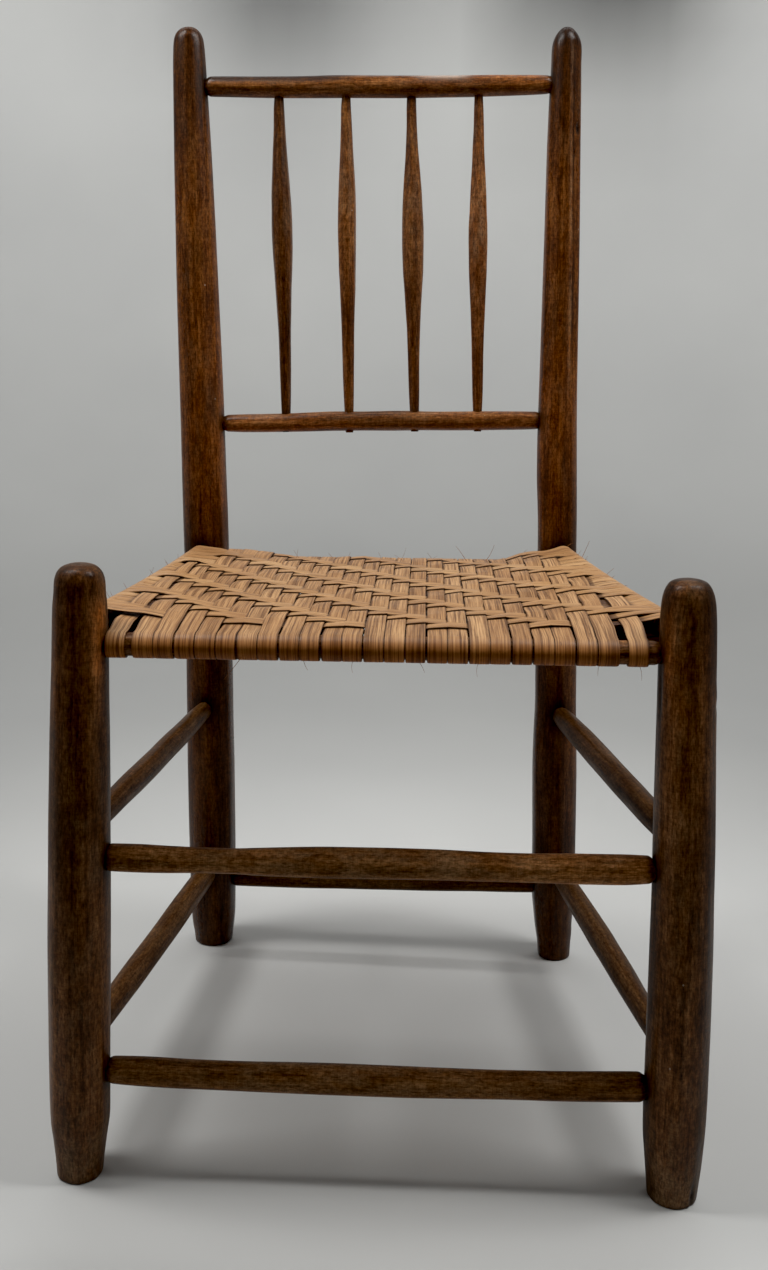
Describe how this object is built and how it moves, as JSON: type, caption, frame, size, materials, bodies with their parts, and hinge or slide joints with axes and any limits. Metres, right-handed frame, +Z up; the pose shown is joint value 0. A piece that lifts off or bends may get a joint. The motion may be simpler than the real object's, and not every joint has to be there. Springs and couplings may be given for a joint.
{
  "type": "side chair",
  "caption": "Handmade side chair with round posts and rungs, a slender spindle back between two rails, and a seat woven of flat wood splint.",
  "frame": {"origin": "on the floor, at the centre of the chair's bounding box", "axes": "+Z up, +Y from the front posts to the back, +X to the right as seen from the front"},
  "size_m": [0.4944, 0.4372, 0.9253],
  "materials": {
    "post_wood": "old dark red-brown stain and varnish, satin, worn at the feet",
    "rung_wood": "old dark red-brown stain and varnish, satin",
    "back_wood": "old dark red-brown stain and varnish, satin",
    "warp_splint": "bare tan splint, dry and matt, with fine long grain",
    "weft_splint": "bare blond splint, dry and matt, with fine long grain"
  },
  "bodies": {
    "root": {"front_post_left": "post_wood", "front_post_right": "post_wood", "rear_post_left": "post_wood", "rear_post_right": "post_wood", "front_stretcher_upper": "rung_wood", "front_stretcher_lower": "rung_wood", "side_stretcher_left_upper": "rung_wood", "side_stretcher_left_lower": "rung_wood", "side_stretcher_right_upper": "rung_wood", "side_stretcher_right_lower": "rung_wood", "rear_stretcher": "rung_wood", "seat_rail_front": "rung_wood", "seat_rail_back": "rung_wood", "seat_rail_left": "rung_wood", "seat_rail_right": "rung_wood", "crest_rail": "back_wood", "lower_back_rail": "back_wood", "spindle_1": "back_wood", "spindle_2": "back_wood", "spindle_3": "back_wood", "spindle_4": "back_wood", "seat_warp_splint": "warp_splint", "seat_weft_splint": "weft_splint"}
  },
  "joints": []
}
